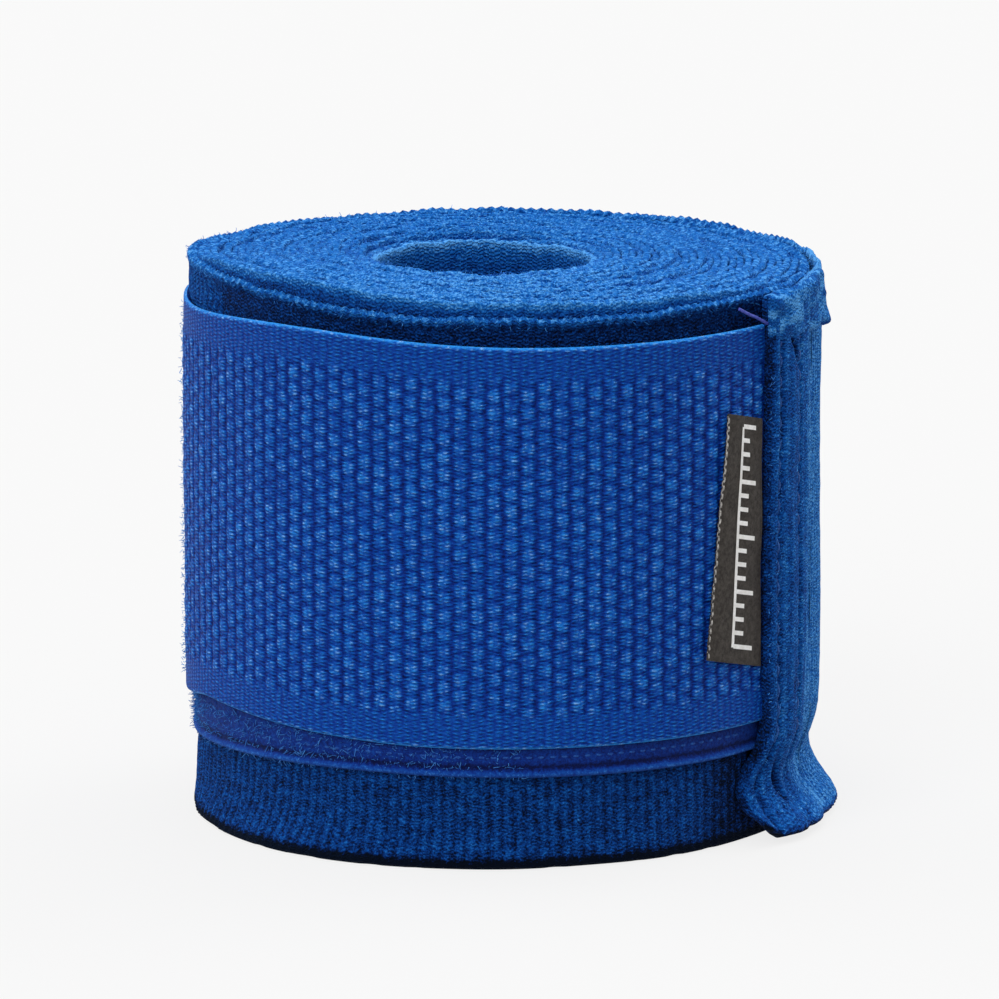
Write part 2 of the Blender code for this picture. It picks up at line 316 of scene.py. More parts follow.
def hookTapeMaterial():
    # the back of woven hook tape: upright nylon floats between stacks of short picks
    look = dict(column=1.514, pick=0.34, glint=1.15)
    stops = ((0.0, "#010d44"), (0.28, "#022e8a"), (0.6, "#0a55b4"), (1.0, "#2b8ee8"))
    material, tree, shader = newMaterial("wovenNylonHookTape", 0.55, 0.0, "#9cc4ff", 0.05)
    flat, along, up = clothCoordinates(tree)
    # the relief attribute is the strip's tone, with painted highlights on its floats and edges
    relief = storedToneWithPaintedLight(tree)
    bent = mixIn(tree, 0.35, fineNoise(tree, flat, 1.3, 2.0), up)
    sway = mixIn(tree, 0.9, stretched(tree, fineNoise(tree, flat, 0.7, 2.0), 0.0, 1.0), along)
    picks, across = bars(tree, sway, bent, look["column"] / 2, look["pick"])
    arch = mixIn(tree, 2.0, across, 0.0)
    dash = compute(tree, "MULTIPLY", picks, arch)
    streaks = addNode(tree, "ShaderNodeVectorMath", dict(operation="MULTIPLY"),
                      {0: flat, 1: (1.0, 3.0, 1.0)}).outputs[0]
    grain = fineNoise(tree, streaks, 1.5, 3.0, 0.75)
    glintSpots = fineNoise(tree, streaks, look["glint"], 3.0, 0.8)
    # the picks are lighter on their crests and darker in their gaps: the weave's pattern with painted light
    # and shade
    tone = mixIn(tree, 0.42, dash, relief)
    tone = mixIn(tree, 0.55, stretched(tree, grain, 0.3, 0.7), tone)
    tone = mixIn(tree, 1.0, tone, -0.13)
    # painted glints: whitish spots of highlight on the picks of the raised floats
    glint = addNode(tree, "ShaderNodeMapRange",
                    inputs={"Value": glintSpots, "From Min": 0.51, "From Max": 0.57}).outputs[0]
    raised = addNode(tree, "ShaderNodeMapRange",
                     inputs={"Value": relief, "From Min": 0.48, "From Max": 0.66}).outputs[0]
    glint = compute(tree, "MULTIPLY", glint, dash)
    glint = compute(tree, "MULTIPLY", glint, raised)
    colour = addNode(tree, "ShaderNodeMix", dict(data_type="RGBA"),
                     {"Factor": glint, 6: ramped(tree, tone, stops), 7: linear("#86bcff")})
    height = mixIn(tree, 0.6, grain, dash)
    finish(tree, shader, colour.outputs[2], height, 0.16)
    return material


def plainMaterial(name, colour, light, roughness, scale, sheen=0.0):
    material, tree, shader = newMaterial(name, roughness, sheen, "#a9c8ff", 0.12)
    spot = addNode(tree, "ShaderNodeTexCoord").outputs["Object"]
    grain = fineNoise(tree, spot, scale, 4.0, 0.7)
    finish(tree, shader, ramped(tree, grain, ((0.35, colour), (0.68, light))), grain, 0.08)
    return material


def loopTapeMaterial():
    # brushed loop tape: a felted pile with a smooth selvedge
    stops = ((0.0, "#010c40"), (0.35, "#042a80"), (0.7, "#0c48a0"), (1.0, "#3a80d4"))
    material, tree, shader = newMaterial("brushedNylonLoopTape", 0.8, 0.08, "#5a9ce8", 0.10)
    flat = clothCoordinates(tree)[0]
    pile = fineNoise(tree, flat, 3.2, 4.0, 0.8)
    # the relief attribute is the strip's tone, with painted light on its lip and painted shade above it
    relief = storedToneWithPaintedLight(tree)
    tone = mixIn(tree, 0.7, stretched(tree, pile, 0.3, 0.7), relief)
    finish(tree, shader, ramped(tree, tone, stops), pile, 0.15)
    return material


cotton = cottonMaterial()
hookTape = hookTapeMaterial()
loopTape = loopTapeMaterial()
satin = plainMaterial("darkGreySatin", "#2b2724", "#4a4541", 0.42, 2200)
whitePrint = plainMaterial("whitePrint", "#e9e7e4", "#ffffff", 0.6, 1500)
sewingThread = plainMaterial("polyesterSewingThread", "#0c3277", "#2c68b6", 0.5, 5200)
looseThread = plainMaterial("violetSewingThread", "#2c3a9c", "#5a68c8", 0.5, 4200)
fuzzFibre = plainMaterial("looseCottonFibre", "#1c68c0", "#4a9cec", 0.8, 1800, 0.05)
paleFibre = plainMaterial("looseNylonFibre", "#2a78cc", "#8cc4f4", 0.6, 1800, 0.05)
loopThread = plainMaterial("darkSewingThread", "#0a3280", "#2a62b6", 0.6, 5200)
hookNylon = plainMaterial("mouldedNylonHooks", "#0c3f9c", "#3f86dc", 0.4, 1500)
loopFibre = plainMaterial("tornLoopFibre", "#0f4ba2", "#4a92de", 0.7, 1800)
selvedgeThread = plainMaterial("greySelvedgeThread", "#6d6964", "#d8d4ce", 0.6, 5000)
print("materials made")


turns = dict(columnLength=0.5, thickness=0.70, rounding=0.20, rimBumps=0.95, rows=9, parts=3)


def topHeight(winding, radius):
    # the inner turns telescope upwards, most of all at the front left, and dip towards the core
    plan = planAt(winding)
    angle = np.radians(plan)
    lean = 0.25 - 0.72 * np.sin(angle) - 0.35 * np.cos(angle)
    lean = lean + 1.25 * bump(plan % 360, 215, 32)
    share = (radius / 27) ** 2
    return 50.3 + 0.9 * (1 - share) + lean * share - 0.9 * bump(radius, 9.0, 1.9)


def edgeScallop(along, winding, seed):
    # the selvedge's picks, the crimp of the elastic, and the turns' unevenness
    picks = 0.07 * np.sin(2 * np.pi * along / turns["rimBumps"] + 5 * np.sin(along * 0.11))
    crimp = (0.20 * latticeNoise(along, winding / 360, 0.9, 2.0, seed)
             + 0.14 * latticeNoise(along, winding / 360, 0.23, 1.0, seed + 1))
    loose = 0.30 * latticeNoise(winding / 70, winding / 360, 1.0, 0.9, seed + 2)
    return picks + crimp + loose


def buildTurns():
    # all turns but the last, as one spiral cut into parts of equal length
    k = pitch / 720
    lastWinding = openWinding - (360 - halfStep)
    length = math.radians(1) * (roll["coreRadius"] * lastWinding + k * lastWinding ** 2)
    share = length / turns["parts"]
    pieces = []
    for i in range(turns["parts"]):
        mesh = flatSlab(f"bandTurns{i + 1}", int(share / turns["columnLength"]), turns["rows"])
        flat = readPoints(mesh)
        along = (i + flat[:, 0]) * share
        turned = np.sqrt(roll["coreRadius"] ** 2 + 4 * k * np.degrees(along)) - roll["coreRadius"]
        winding = turned / (2 * k)
        radius = bandRadius(winding)
        # most rows are at the top edge, which is the part that shows
        levels = np.interp(flat[:, 2], np.linspace(0, 1, 10),
                           [0, 0.3, 12, 40, 47.5, 49.0, 49.6, 49.82, 49.95, 50])
        height = levels + (topHeight(winding, radius) - 50) * (0.25 + 0.75 * smooth(levels, 20, 50))
        height = height + edgeScallop(along, winding, 3) * smooth(levels, 46, 50)
        side = flat[:, 1] * 2 - 1
        lean = 0.12 * latticeNoise(along, winding / 360, 0.5, 1.3, 21) * smooth(levels, 46, 50)
        spread = 0.95 * bump(planAt(winding) % 360, 180, 34) * (radius / 27) ** 4 * smooth(levels, 44, 49.5)
        body = (radius + 0.31 + lean + spread
                + side * turns["thickness"] / 2 * edgeRounding(levels, 0, 50, turns["rounding"]))
        # painted light: the turns' top edges are toned lighter where they catch the light, more so at the
        # front, and the core's inner wall is toned lighter where little light reaches it
        front = bump(planAt(winding) % 360, 275, 60)
        relief = 0.16 + (0.50 + 0.10 * front) * smooth(levels, 48.4, 49.9) + 0.34 * bump(radius, 9.4, 0.8)
        writeCloth(mesh, place(winding, body, height), along, np.where(side > 0, 100 - levels, levels),
                   relief)
        piece = newPiece(mesh.name, mesh, cotton)
        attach(piece, "roll")
        if i == 0:
            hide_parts("band_windings")
        pieces.append(piece)
    return pieces, length


lastTurn = dict(thickness=0.66, columnLength=0.3, rows=84, rib=1.05)


def rimHeight(plan):
    # top edge of the last turn, by plan angle
    around = plan % 360
    return 50.3 + 1.15 * bump(around, 190, 40) - 0.2 * bump(around, 270, 45)


def ribRelief(along, up, seed):
    # vertical ribs, uneven in depth, with the crepe of the elastic across them
    depth = 0.055 + 0.03 * latticeNoise(along, up, 0.12, 0.05, seed)
    rib = np.cos(2 * np.pi * along / lastTurn["rib"] + 0.6 * latticeNoise(along, up, 0.2, 0.12, seed + 1))
    crepe = latticeNoise(along, up, 1.9, 2.9, seed + 2)
    # painted light and shade: lighter on the rib crests and at the top edge, darker in the rib valleys and
    # near black along the foot, over the crepe's own tone
    tone = 0.38 + 0.11 * rib + 0.10 * crepe + 0.30 * smooth(up, 49.0, 50) - 0.7 * (1 - smooth(up, 0.4, 1.3))
    return depth * rib + 0.035 * crepe, tone


def rimPicks(along, seed):
    # the picks along the rim, over a slower unevenness
    return (0.11 * np.sin(2 * np.pi * along / turns["rimBumps"])
            + 0.16 * latticeNoise(along, 0 * along, 0.4, 1.0, seed))


def ribbed(thickness, relief, up, low):
    # from the cloth's middle to its face, with the ribs fading out at both edges
    return thickness / 2 + relief * smooth(edgeRounding(up, low, 50, 1.0), 0.2, 0.9)


def lastTurnShape(winding, up):
    # middle radius of the last turn: tucked in under its rim at the front, and pulled about at its foot
    plan = planAt(winding) % 360
    front = smooth(plan, 185, 215) * (1 - smooth(plan, 318, 332))
    radius = bandRadius(winding) + 0.33
    tuck = -0.95 * front * bump(up, 47.6, 1.4) - 0.35 * front * smooth(up, 40, 46)
    flare = 1.05 * bump(plan, 178, 26) * smooth(up, 45.2, 46.2) + 0.30 * front * smooth(up, 48.6, 49.4)
    foot = 1.9 * bump(plan, 232, 46) * bump(up, 0, 2.6)
    low = 0.35 * smooth(14 - up, 0, 8) * smooth(plan, 170, 200) * (1 - smooth(plan, 312, 326))
    bulge = 0.45 * bump(plan, 185, 14) * bump(up, 4.5, 3.5)
    drift = 0.16 * latticeNoise(winding * 0.07, up, 1.0, 0.11, 5)
    return radius + tuck + flare + foot + low + bulge + drift


def buildLastTurn(name, first, last, body):
    length = math.radians(last - first) * surfaceRadius
    columns = int(length / lastTurn["columnLength"])
    mesh = flatSlab(name, columns, lastTurn["rows"])
    flat = readPoints(mesh)
    winding = first + flat[:, 0] * (last - first)
    along = np.radians(winding) * surfaceRadius
    up = spreadRows(flat[:, 2], 0, 50, 0.55)
    relief, tone = ribRelief(along, up, 30)
    side = flat[:, 1] * 2 - 1
    rim = 1 + 0.45 * smooth(up, 48.9, 49.5)
    thickness = lastTurn["thickness"] * rim * edgeRounding(up, 0, 50, 0.33)
    radius = lastTurnShape(winding, up) + side * ribbed(thickness, relief, up, 0)
    top = rimHeight(planAt(winding)) - 50 + rimPicks(along, 44)
    height = (up + top * smooth(up, 38, 50)
              + 0.10 * latticeNoise(along, 0 * along, 0.5, 1.0, 45) * (1 - smooth(up, 0, 6)))
    plan = planAt(winding) % 360
    # painted shade, faded out where the hem covers the turn: darker on the lower band from the left round to
    # the front, in a band under the rim at the front, and low down beside the hem
    covered = 1 - smooth(plan, 323, 338)
    tone = tone - 0.12 * smooth(14 - up, 0, 6) * smooth(plan, 130, 190) * covered
    tone = tone - 0.36 * bump(up, 46.6, 2.1) * smooth(plan, 190, 225) * covered
    tone = tone - 0.20 * smooth(plan, 307, 317) * smooth(14 - up, 0, 4) * covered
    writeCloth(mesh, place(winding, radius, np.maximum(height, 0.02)), along,
               np.where(side > 0, 100 - up, up), tone)
    piece = newPiece(name, mesh, cotton)
    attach(piece, body)
    return piece


turnPieces, turnsLength = buildTurns()
startLast = openWinding - (360 - halfStep)
lastHalf = openWinding - (180 + halfStep)
backTurn = buildLastTurn("bandLastTurnLeft", startLast, lastHalf, "roll")
frontTurn = buildLastTurn("bandLastTurnBack", lastHalf, openWinding - halfStep, "roll")
print("wound band made")


# the opening end: each piece crosses one joint, from the middle of one stiff piece to the middle of the next
outerTurn = dict(thickness=0.66, columns=30, rows=84)


def clothHinge(piece, bodyA, bodyB, first, last):
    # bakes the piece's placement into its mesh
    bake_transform(piece)


def outerRim(winding):
    return 50.3 + 0.6 * smooth(winding - hemWinding, -40, -15)


def outerTurnMiddle(winding, up):
    return (outerTurnRadius(winding) + outerTurn["thickness"] / 2 + footFlare(winding, up)
            + 0.10 * latticeNoise(winding * 0.07, up, 1.0, 0.11, 5))


def buildOuterTurn():
    pieces = []
    for i in range(roll["turnPieces"] + 1):
        hinge = openWinding + roll["step"] * i
        first, last = hinge - halfStep, hinge + halfStep
        bodies = ("roll" if i == 0 else f"outer_turn_{i}",
                  "hem" if i == roll["turnPieces"] else f"outer_turn_{i + 1}")
        name = f"bandOuterTurn{i + 1}"
        mesh = flatSlab(name, outerTurn["columns"], outerTurn["rows"])
        flat = readPoints(mesh)
        winding = first + flat[:, 0] * (last - first)
        along = np.radians(winding) * surfaceRadius
        up = spreadRows(flat[:, 2], 0.3, 50, 0.55)
        relief, tone = ribRelief(along, up, 30)
        side = flat[:, 1] * 2 - 1
        thickness = outerTurn["thickness"] * edgeRounding(up, 0.3, 50, 0.33)
        radius = outerTurnMiddle(winding, up) + side * ribbed(thickness, relief, up, 0.3)
        top = outerRim(winding) - 50 + rimPicks(along, 46)
        height = up + top * smooth(up, 38, 50)
        # painted light: the stretch before the hem, on the roll's right side, is toned lighter as if lit
        # from the right
        tone = tone + 0.30 * smooth(winding - hemWinding, -75, -35)
        writeCloth(mesh, place(winding, radius, height), along, np.where(side > 0, 100 - up, up), tone)
        piece = newPiece(name, mesh, cotton)
        clothHinge(piece, *bodies, first, last)
        if i < roll["turnPieces"]:
            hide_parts(f"band_outer_turn_{i + 1}")
        pieces.append(piece)
    return pieces


outerPieces = buildOuterTurn()
print("outer turn made")


hem = dict(columns=72, rows=150, span=22.5, radius=28.3, cloth=0.66, fold=1.75, seams=(1.1, 5.2))


def hemEdgeShift(up):
    # the folded edge wanders: almost upright, then out to the left above the foot
    return (1.6 - 0.6 * smooth(45 - up, 0, 20) - 4.6 * bump(np.maximum(up, 4.2), 4.2, 3.4)
            + 0.5 * bump(up, 12, 3) + 1.3 * (1 - smooth(up, 0, 3.4)))


def buildHem():
    mesh = flatSlab("endHem", hem["columns"], hem["rows"])
    flat = readPoints(mesh)
    share = 1 - flat[:, 0]  # x runs with the winding, so the folded edge is at x = 1
    distance = share * math.radians(hem["span"]) * hem["radius"]
    up = spreadRows(flat[:, 2], 0.5, 50.6, 0.4)
    plan = roll["hemAngle"] + share * hem["span"] + hemEdgeShift(up) * (1 - smooth(share, 0, 0.75))
    winding = windingAt(plan)
    along = np.radians(winding) * surfaceRadius
    relief, tone = ribRelief(along, up, 30)
    relief = relief * 0.42 + 0.03 * latticeNoise(distance, up, 2.2, 2.6, 72)
    tone = 0.38 + 0.65 * (tone - 0.38) + 0.10 * latticeNoise(distance, up, 1.1, 0.8, 73)
    fold = halfRound(distance, 0.85)
    thick = hem["cloth"] + (hem["fold"] - hem["cloth"]) * (1 - smooth(distance, 5.5, 10.0))
    thick += (-0.30 * bump(distance, hem["seams"][0] + 0.25, 0.28)
              - 0.24 * bump(distance, hem["seams"][1], 0.40))
    thick += 0.22 * bump(distance, 3.2, 1.1) + 0.25 * bump(distance, 7.4, 0.9) * smooth(up, 8, 20)
    thick += 0.16 * latticeNoise(distance, up, 0.5, 0.16, 71)
    slit = bump((distance - 3.6) - (45.4 - up) * 0.55, 0, 0.36) * bump(up, 45.0, 1.3)
    crease = bump(distance - 3.2 - (6.0 - up) * 0.35, 0, 0.35) * bump(up, 5.2, 1.9)
    thick += -1.1 * slit - 0.75 * crease
    closing = edgeRounding(up, 0.5, 50.6, 0.6)
    inner = outerTurnRadius(np.minimum(winding, hemWinding)) + footFlare(np.minimum(winding, hemWinding), up)
    middle = inner + thick / 2
    side = flat[:, 1] * 2 - 1
    half = thick / 2 * fold * closing
    radius = middle + side * half + np.where(side > 0, relief, -0.3 * relief) * fold * closing
    top = 0.15 + 0.45 * bump(distance, 3.0, 2.0) + 0.45 * smooth(distance, 4, 10)
    height = up + 1.1 * (1 - smooth(distance, 0, 1.6)) * (1 - smooth(up, 0, 3.5))
    height = (height + (top - 0.6) * smooth(up, 40, 50.6)
              + 0.12 * latticeNoise(along, 0 * along, 0.5, 1.0, 47) * smooth(up, 46, 50))
    # painted light and shade: the hem is toned lighter overall, most on its part away from the fold, as if
    # lit from the right; it is darker in the slit and the crease, in the first seam's groove, along the
    # folded edge where it meets the strip, and along the foot
    tone = (tone + 0.10 + 0.26 * smooth(distance, 5.5, 9.0) - 0.9 * np.clip(slit + 0.6 * crease, 0, 1)
            - 0.22 * bump(distance, 1.35, 0.22))
    tone = tone - 0.40 * (1 - smooth(distance, 0.0, 0.5))
    tone = tone - 0.25 * (1 - smooth(up, 0.9, 1.5))
    writeCloth(mesh, place(winding, radius, height), along + 0.8 * side * (1 - fold), height, tone)
    piece = newPiece("endHem", mesh, cotton)
    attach(piece, "hem")
    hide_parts("end_hem")
    return piece


hemPiece = buildHem()
print("hem made")


hookStrip = dict(start=2.5, end=15, low=11.0, high=47.8, thickness=0.62, columns=34, rows=186, selvedge=3.0,
                 column=1.514, row=1.62)


def hookEdges(plan):
    around = plan % 360
    low = 11.05 + 0.75 * smooth(260 - around, 0, 60)
    low = low - 0.9 * smooth(202 - around, 0, 16)
    high = 47.65 + 0.75 * bump(around, 231, 26) - 0.3 * bump(around, 188, 20)
    return low, high


def hookRelief(along, up, low, high):
    # plain selvedges, and between them smooth upright floats in staggered columns
    index = np.round(along / hookStrip["column"])
    fromColumn = along - index * hookStrip["column"] + 0.12 * latticeNoise(along, up, 0.8, 0.8, 63)
    shifted = (up - 11) / hookStrip["row"] + 0.5 * (index % 2)
    fromRow = (shifted - np.round(shifted)) * hookStrip["row"]
    lozenge = np.clip(1 - (fromColumn / 0.68) ** 2 - (fromRow / 0.86) ** 2, 0, 1)
    margin = hookStrip["selvedge"]
    centre = smooth(up - low, margin - 0.3, margin + 0.5) * smooth(high - up, margin - 0.3, margin + 0.5)
    floats = lozenge ** 0.75 * centre * (0.85 + 0.3 * latticeNoise(along, up, 0.9, 0.9, 64))
    # the tone is lighter on the raised floats, a painted highlight over the weave's own pattern
    return 0.19 * floats - 0.07 * centre, 0.30 + 0.17 * (1 - centre) + 0.48 * floats


def hookSlab(name, first, last, columns):
    mesh = flatSlab(name, columns, hookStrip["rows"])
    flat = readPoints(mesh)
    winding = first + flat[:, 0] * (last - first)
    along = np.radians(winding - hemWinding) * surfaceRadius * 1.0322
    low, high = hookEdges(planAt(winding))
    up = low + (high - low) * flat[:, 2]
    relief, tone = hookRelief(along, up, low, high)
    side = flat[:, 1] * 2 - 1
    around = edgeRounding(up, low, high, 0.22)
    middle = (hookRadius(winding) + hookStrip["thickness"] / 2
              + 0.06 * latticeNoise(winding * 0.1, up, 1.0, 0.12, 61))
    middle = middle + 0.40 * smooth(winding - hemWinding, 105, 140)
    radius = middle + side * hookStrip["thickness"] / 2 * around + np.where(side > 0, relief, 0) * around
    # painted highlight along both edges of the strip's outer face
    edge = 1 - smooth(np.minimum(high - up, up - low), 0.02, 0.30)
    tone = np.where(side > 0, tone + 0.75 * edge, 0.30)
    return mesh, winding, along, up, radius, tone


def hookSpan(i, start, end):
    # a stretch of the strip: the first one starts short of its joint, and the last one runs on
    hinge = hemWinding + roll["step"] * i
    first = hinge - halfStep if i else hinge - start
    last = hinge + halfStep if i < roll["hookPieces"] - 1 else hinge + end
    return first, last


def hingeOnStrip(piece, i):
    first = hookSpan(i, hookStrip["start"], hookStrip["end"])[0]
    last = hemWinding + roll["step"] * i + halfStep
    clothHinge(piece, "hem" if i == 0 else f"hook_strip_piece_{i}", f"hook_strip_piece_{i + 1}", first, last)


def buildHookStrip():
    pieces = []
    for i in range(roll["hookPieces"]):
        first, last = hookSpan(i, hookStrip["start"], hookStrip["end"])
        name = f"hookStrip{i + 1}"
        columns = int(hookStrip["columns"] * (last - first) / 15)
        mesh, winding, along, up, radius, tone = hookSlab(name, first, last, columns)
        writeCloth(mesh, place(winding, radius, up), along, up, tone)
        piece = newPiece(name, mesh, hookTape)
        hingeOnStrip(piece, i)
        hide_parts(f"hook_strip_{i + 1}")
        pieces.append(piece)
    return pieces


hookPieces = buildHookStrip()
print("hook strip made")


# the loop strip, on the turn beneath the hook strip
loopStrip = dict(low=8.3, sag=1.1, high=45.3, thickness=0.55, reach=(-45, 165), columns=360, rows=120)


def loopLow(plan):
    # the loop strip's lower edge sags on the left
    return loopStrip["low"] - loopStrip["sag"] * smooth(250 - plan % 360, 0, 70)


def buildLoopStrip():
    first, last = (hemWinding - 360 + reach for reach in loopStrip["reach"])
    mesh = flatSlab("loopStrip", loopStrip["columns"], loopStrip["rows"])
    flat = readPoints(mesh)
    winding = first + flat[:, 0] * (last - first)
    along = np.radians(winding) * surfaceRadius
    plan = planAt(winding) % 360
    low = loopLow(plan)
    up = low + (loopStrip["high"] - low) * spreadRows(flat[:, 2], 0, 1, 0.35)
    pile = smooth(up - low, 2.4, 3.2) * smooth(loopStrip["high"] - up, 1.6, 2.4)
    nap = 0.10 * latticeNoise(along, up, 2.3, 2.3, 81) + 0.05 * latticeNoise(along, up, 0.6, 0.6, 82)
    lip = 0.28 * bump(up - low, 0.35, 0.35) - 0.16 * bump(up - low, 0.95, 0.22)
    around = edgeRounding(up, low, loopStrip["high"], 0.25)
    side = flat[:, 1] * 2 - 1
    middle = (loopRadius(winding) + 0.30
              + 0.35 * smooth(14 - up, 0, 8) * smooth(plan, 170, 200) * (1 - smooth(plan, 312, 326)))
    radius = (middle + side * loopStrip["thickness"] / 2 * around
              + np.where(side > 0, nap * pile + lip, 0) * around)
    # painted light on the raised lip along the lower edge, and painted shade in the groove just above it
    writeCloth(mesh, place(winding, radius, up), along, up,
               0.34 + 0.8 * nap + 1.3 * lip - 0.2 * bump(up - low, 1.0, 0.3))
    piece = newPiece("loopStrip", mesh, loopTape)
    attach(piece, "roll")
    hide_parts("loop_strip")
    return piece


loopPiece = buildLoopStrip()
print("loop strip made")


# the end of the hem, turned over at the top
hood = dict(reach=(-36.6, -10.5), span=26, low=(46.3, 45.6), high=(50.2, 50.7), thickness=1.1, columns=64,
            rows=30)


def buildHood():
    # its corner sticks out at the right
    mesh = flatSlab("hemHood", hood["columns"], hood["rows"])
    flat = readPoints(mesh)
    share = 1 - flat[:, 0]
    plan = hood["reach"][0] + (hood["reach"][1] - hood["reach"][0]) * share
    low = (hood["low"][0] + (hood["low"][1] - hood["low"][0]) * share
           + 0.35 * latticeNoise(share * 6, 0 * share, 1.0, 1.0, 51))
    high = hood["high"][0] + (hood["high"][1] - hood["high"][0]) * smooth(share, 0, 0.5)
    up = low + (high - low) * flat[:, 2]
    winding = windingAt(plan)
    along = np.radians(winding) * surfaceRadius
    distance = share * hood["span"] * math.radians(1) * hem["radius"]
    rounded = edgeRounding(up, low, high, 0.6) * halfRound(distance, 0.7) * edgeRounding(share, -1, 1, 0.03)
    side = flat[:, 1] * 2 - 1
    lump = 0.28 * latticeNoise(along, up, 0.55, 0.5, 52) + 0.08 * latticeNoise(along, up, 2.2, 2.6, 53)
    middle = (29.55 - 0.15 * smooth(share, 0.2, 0.6) - 0.35 * smooth(share, 0.6, 0.95)
              + 0.40 * smooth(share, 0.8, 1.0) * (1 - smooth(up, 45.9, 48.0)))
    radius = middle + side * hood["thickness"] / 2 * rounded + np.where(side > 0, lump, 0) * rounded
    # painted light: the hood is toned much lighter than the band, as a top lit from above, with a tone that
    # varies at random over it
    tone = 0.72 + 0.34 * latticeNoise(along, up, 1.2, 1.4, 54)
    writeCloth(mesh, place(winding, radius, up), along + 0.8 * side * (1 - rounded), up, tone)
    piece = newPiece("hemHood", mesh, cotton)
    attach(piece, "hem")
    return piece


hoodPiece = buildHood()


# the label tab, sewn in under the hem's fold
label = dict(seam=-37.9, edge=(-46.9, -52.0), top=(39.2, 40.3), foot=(16.3, 18.0), thickness=0.22,
             turn=(-38.5, -40.4))


def labelPoints(across, t, lift):
    # across runs from the free edge to the seam and t up the label
    edge = label["edge"][1] + (label["edge"][0] - label["edge"][1]) * t
    plan = edge + (label["seam"] - edge) * across
    top = label["top"][1] + (label["top"][0] - label["top"][1]) * across
    foot = label["foot"][1] + (label["foot"][0] - label["foot"][1]) * across
    up = foot + (top - foot) * t
    ragged = 0.07 * latticeNoise(up, 0 * up, 3.0, 1.0, 91) * (1 - smooth(across, 0, 0.1))
    winding = windingAt(plan) + np.degrees(ragged / 28)
    curl = 0.16 * bump(across, 0, 0.3) + 0.12 * latticeNoise(across * 3, t * 5, 1.0, 1.0, 92)
    points = place(winding, hookRadius(winding) + 0.86 + curl + lift, up)
    return points, np.radians(winding) * surfaceRadius, up


def foldAtSeam(piece):
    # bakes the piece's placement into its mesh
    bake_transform(piece)


def buildLabel():
    mesh = flatSlab("labelTab", 40, 110)
    flat = readPoints(mesh)
    lift = (flat[:, 1] - 0.5) * label["thickness"]
    points, along, up = labelPoints(1 - flat[:, 0], flat[:, 2], lift)
    writeCloth(mesh, points, along, up, 0 * up)
    piece = newPiece("labelTab", mesh, satin)
    foldAtSeam(piece)
    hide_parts("label_tab")
    return piece


def buildMarks():
    # a plain scale of ticks, standing in for the printed length
    marks = [(0.44, 0.80 if i % 4 == 0 else 0.62, 0.07 + 0.0555 * i, 0.009) for i in range(17)]
    marks.append((0.40, 0.445, 0.51, 0.445))
    joined = bmesh.new()
    for i, (left, right, middle, reach) in enumerate(marks):
        mesh = flatSlab(f"mark{i}", 6, 40 if reach > 0.1 else 2)
        flat = readPoints(mesh)
        across = left + (right - left) * (1 - flat[:, 0])
        t = middle + reach * (2 * flat[:, 2] - 1)
        points, along, up = labelPoints(across, t, 0.12 + 0.05 * flat[:, 1])
        writeCloth(mesh, points, along, up, 0 * up)
        joined.from_mesh(mesh)
        bpy.data.meshes.remove(mesh)
    mesh = bpy.data.meshes.new("labelScale")
    joined.to_mesh(mesh)
    joined.free()
    piece = newPiece("labelScale", mesh, whitePrint)
    foldAtSeam(piece)
    return piece


buildLabel()
buildMarks()
print("label made")


def tube(name, points, radius, material, body, node=None):
    curve = bpy.data.curves.new(name, "CURVE")
    curve.dimensions = "3D"
    curve.bevel_depth = radius * mm
    curve.bevel_resolution = 2
    curve.use_fill_caps = True
    spline = curve.splines.new("NURBS")
    spline.points.add(len(points) - 1)
    for spot, point in zip(spline.points, points):
        spot.co = (*point, 1)
    spline.use_endpoint_u = True
    spline.order_u = 3
    curve.materials.append(material)
    piece = bpy.data.objects.new(name, curve)
    bpy.context.scene.collection.objects.link(piece)
    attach(piece, body)
    if node:
        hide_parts(node)
    return piece


def onRoll(plan, radius, height):
    plan, radius, height = np.broadcast_arrays(np.asarray(plan, float), radius, height)
    return place(windingAt(plan), radius, height)


looseEnd = onRoll([-35.0, -37.4, -39.8, -42.3, -44.4], [29.2, 29.3, 29.4, 29.4, 29.3],
                  [47.5, 48.0, 48.6, 49.1, 49.7])
tube("looseThreadEnd", looseEnd, 0.15, looseThread, "hem", "loose_thread_end")
for i, seamPlan in enumerate((-35.2, -27.4)):
    heights = np.linspace(9, 46, 120)
    dips = 0.16 * np.sin(2 * np.pi * heights / 1.9)
    row = onRoll(seamPlan + hemEdgeShift(heights) * (0.8 - 0.5 * i), 29.72 - 0.1 * i + dips, heights)
    tube(f"hemSeam{i + 1}", row, 0.15, sewingThread, "hem", f"hem_stitching_{i + 1}")
edgeUp = np.linspace(0.01, 0.99, 140)
edgeLift = 0.05 + 0.06 * np.sin(np.arange(140) * 1.3)
edgePoints = labelPoints(0.012 + 0 * edgeUp, edgeUp, edgeLift)[0]
tube("labelSelvedge", edgePoints, 0.09, selvedgeThread, "label")
seamWindings = hemWinding - 360 + np.linspace(4, 162, 330)
seamRise = loopLow(planAt(seamWindings)) + 1.9
seamRadius = loopRadius(seamWindings) + 0.60 + 0.1 * np.sin(np.arange(330) * 1.4)
tube("loopSeam", place(seamWindings, seamRadius, seamRise), 0.13, loopThread, "roll",
     "loop_strip_stitching")


# the thumb loop, flattened against the wall of the core
thumb = dict(reach=(-232, 20), heights=(15, 35), layers=(8.72, 8.22), fold=8.47, thickness=0.42)


